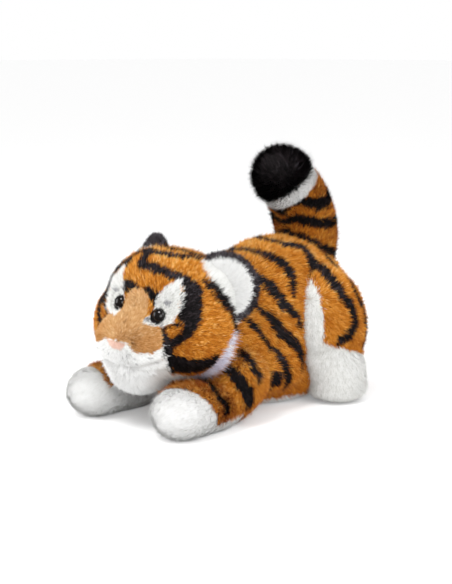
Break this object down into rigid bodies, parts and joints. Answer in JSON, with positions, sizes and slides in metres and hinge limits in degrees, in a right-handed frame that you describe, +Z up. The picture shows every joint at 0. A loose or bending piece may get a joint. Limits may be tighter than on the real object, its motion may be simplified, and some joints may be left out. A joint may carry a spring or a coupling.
{
  "type": "plush tiger",
  "caption": "Stuffed plush tiger lying on its belly: sewn fur panels over stuffed cores, with a head, ears, legs and tail that flex at their seams.",
  "frame": {"origin": "on the surface the tiger lies on, under the middle of its bounding box", "axes": "+Z up, -Y the way the tiger faces, +X its left side"},
  "size_m": [0.1706, 0.2758, 0.2226],
  "materials": {
    "orange_plush": "short fur pile with dark stripes",
    "white_plush": "short fur pile",
    "black_plush": "short fur pile",
    "tan_plush": "short fur pile",
    "pink_plush": "short brushed pile",
    "filling": "loose polyester fibre",
    "eye_plastic": "polished",
    "washer_plastic": "moulded"
  },
  "bodies": {
    "torso": {"torso_back_skin": "orange_plush", "torso_belly_panel": "white_plush", "torso_stuffing": "filling"},
    "neck": {"neck_stuffing": "filling"},
    "head": {"head_skin": "orange_plush", "nose_patch": "pink_plush", "muzzle_bridge": "tan_plush", "upper_lip": "white_plush", "chin_panel": "white_plush", "throat_panel": "white_plush", "brow_patch_left": "white_plush", "brow_patch_right": "white_plush", "head_stuffing": "filling", "eye_left": "eye_plastic", "eye_right": "eye_plastic", "eye_washer_left": "washer_plastic", "eye_washer_right": "washer_plastic"},
    "ear_left": {"ear_lining_left": "white_plush", "ear_back_left": "black_plush"},
    "ear_right": {"ear_lining_right": "white_plush", "ear_back_right": "black_plush"},
    "front_leg_left": {"front_leg_sleeve_left": "orange_plush", "front_paw_left": "white_plush", "front_leg_stuffing_left": "filling"},
    "front_leg_right": {"front_leg_sleeve_right": "orange_plush", "front_paw_right": "white_plush", "front_leg_stuffing_right": "filling"},
    "hind_leg_left": {"thigh_skin_left": "orange_plush", "thigh_front_strip_left": "white_plush", "hind_foot_left": "white_plush", "hind_leg_stuffing_left": "filling"},
    "hind_leg_right": {"thigh_skin_right": "orange_plush", "thigh_front_strip_right": "white_plush", "hind_foot_right": "white_plush", "hind_leg_stuffing_right": "filling"},
    "tail": {"tail_sleeve": "orange_plush", "tail_band": "white_plush", "tail_tip": "black_plush", "tail_stuffing": "filling"}
  },
  "joints": [
    {"name": "head_turn", "type": "hinge", "parent": "torso", "child": "neck", "pos_m": [0, -0.02969, 0.08], "axis": [0, 0, 1], "range_deg": [-8, 8], "stiffness_Nm_per_rad": 0.4},
    {"name": "head_lift", "type": "hinge", "parent": "neck", "child": "head", "pos_m": [0, -0.02969, 0.08], "axis": [-1, 0, 0], "range_deg": [0, 10], "stiffness_Nm_per_rad": 0.4},
    {"name": "ear_fold_left", "type": "hinge", "parent": "head", "child": "ear_left", "pos_m": [0.0426, -0.05161, 0.11566], "axis": [-0.4429, -0.2203, 0.8691], "range_deg": [-12, 12], "stiffness_Nm_per_rad": 0.02},
    {"name": "ear_fold_right", "type": "hinge", "parent": "head", "child": "ear_right", "pos_m": [-0.0426, -0.06056, 0.12316], "axis": [0.6221, -0.1083, 0.7754], "range_deg": [-12, 12], "stiffness_Nm_per_rad": 0.02},
    {"name": "front_leg_splay_left", "type": "hinge", "parent": "torso", "child": "front_leg_left", "pos_m": [0.049, -0.02369, 0.034], "axis": [0, 0, 1], "range_deg": [-3, 12], "stiffness_Nm_per_rad": 0.3},
    {"name": "front_leg_splay_right", "type": "hinge", "parent": "torso", "child": "front_leg_right", "pos_m": [-0.049, -0.02369, 0.034], "axis": [0, 0, -1], "range_deg": [-3, 12], "stiffness_Nm_per_rad": 0.3},
    {"name": "hind_leg_swing_left", "type": "hinge", "parent": "torso", "child": "hind_leg_left", "pos_m": [0.052, 0.07431, 0.06], "axis": [0, 0, 1], "range_deg": [-8, 8], "stiffness_Nm_per_rad": 0.3},
    {"name": "hind_leg_swing_right", "type": "hinge", "parent": "torso", "child": "hind_leg_right", "pos_m": [-0.052, 0.07431, 0.06], "axis": [0, 0, -1], "range_deg": [-8, 8], "stiffness_Nm_per_rad": 0.3},
    {"name": "tail_sway", "type": "hinge", "parent": "torso", "child": "tail", "pos_m": [0, 0.09831, 0.128], "axis": [0, 1, 0], "range_deg": [-12, 12], "stiffness_Nm_per_rad": 0.2}
  ]
}
